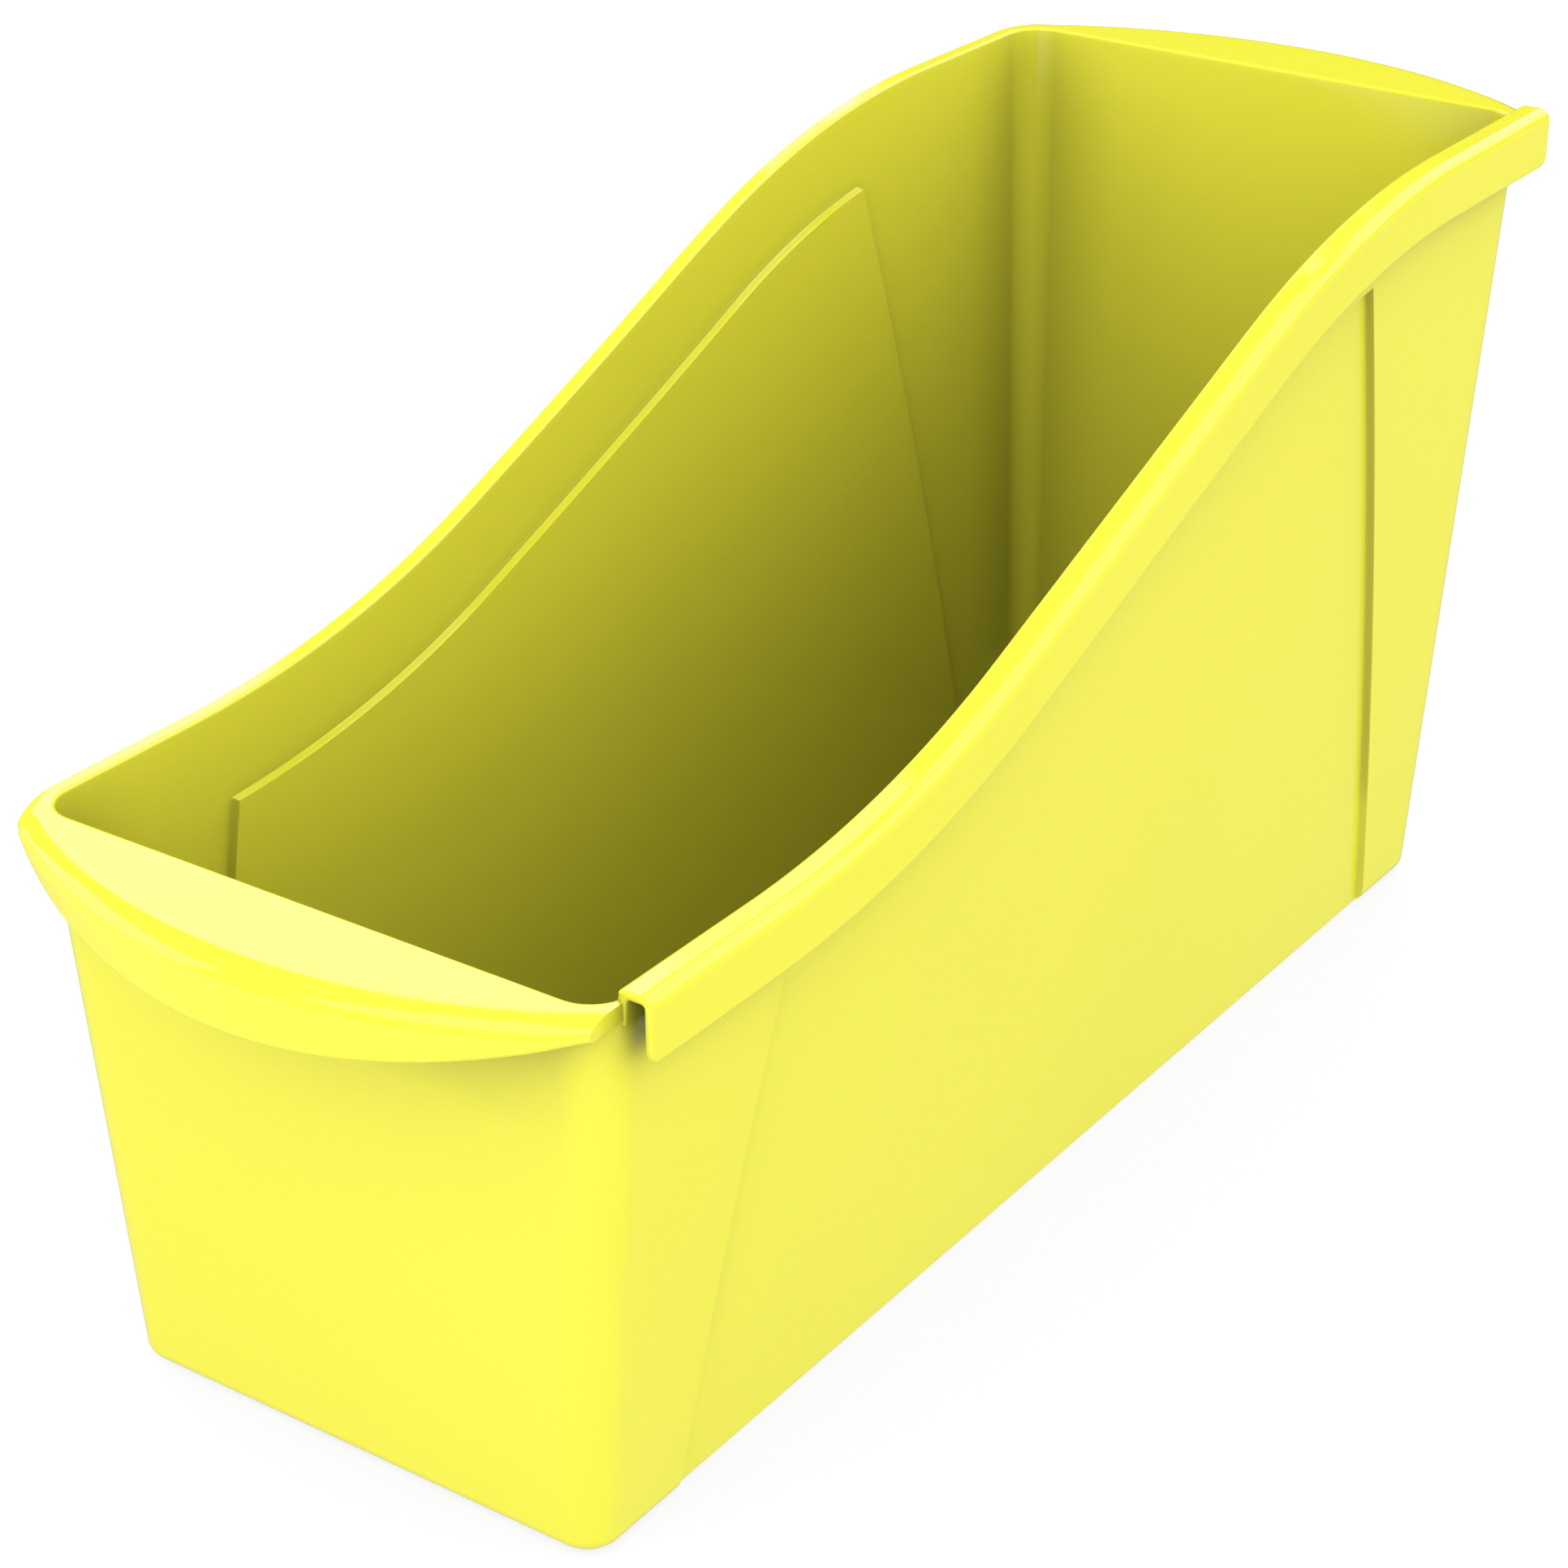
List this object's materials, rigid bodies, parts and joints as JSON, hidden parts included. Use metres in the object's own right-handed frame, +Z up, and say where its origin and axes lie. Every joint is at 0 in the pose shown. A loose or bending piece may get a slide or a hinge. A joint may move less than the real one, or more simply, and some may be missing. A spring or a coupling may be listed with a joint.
{
  "type": "interlocking parts bin",
  "caption": "Sloped open-top bin with a low front, a high back, a front grip lip, and a hook rail along one rim that hangs over the rim of the next bin.",
  "frame": {"origin": "middle of the base, on the surface the bin stands on", "axes": "+Z up; +Y from the low front towards the high back; +X towards the side with the hook rail"},
  "size_m": [0.1322, 0.367, 0.1795],
  "materials": {
    "yellow_plastic": "smooth moulded, glossy"
  },
  "bodies": {
    "root": {"floor": "yellow_plastic", "front_wall": "yellow_plastic", "back_wall": "yellow_plastic", "left_wall": "yellow_plastic", "right_wall": "yellow_plastic", "front_grip": "yellow_plastic", "back_lip": "yellow_plastic", "left_rim": "yellow_plastic", "hook_rail": "yellow_plastic"}
  },
  "joints": []
}
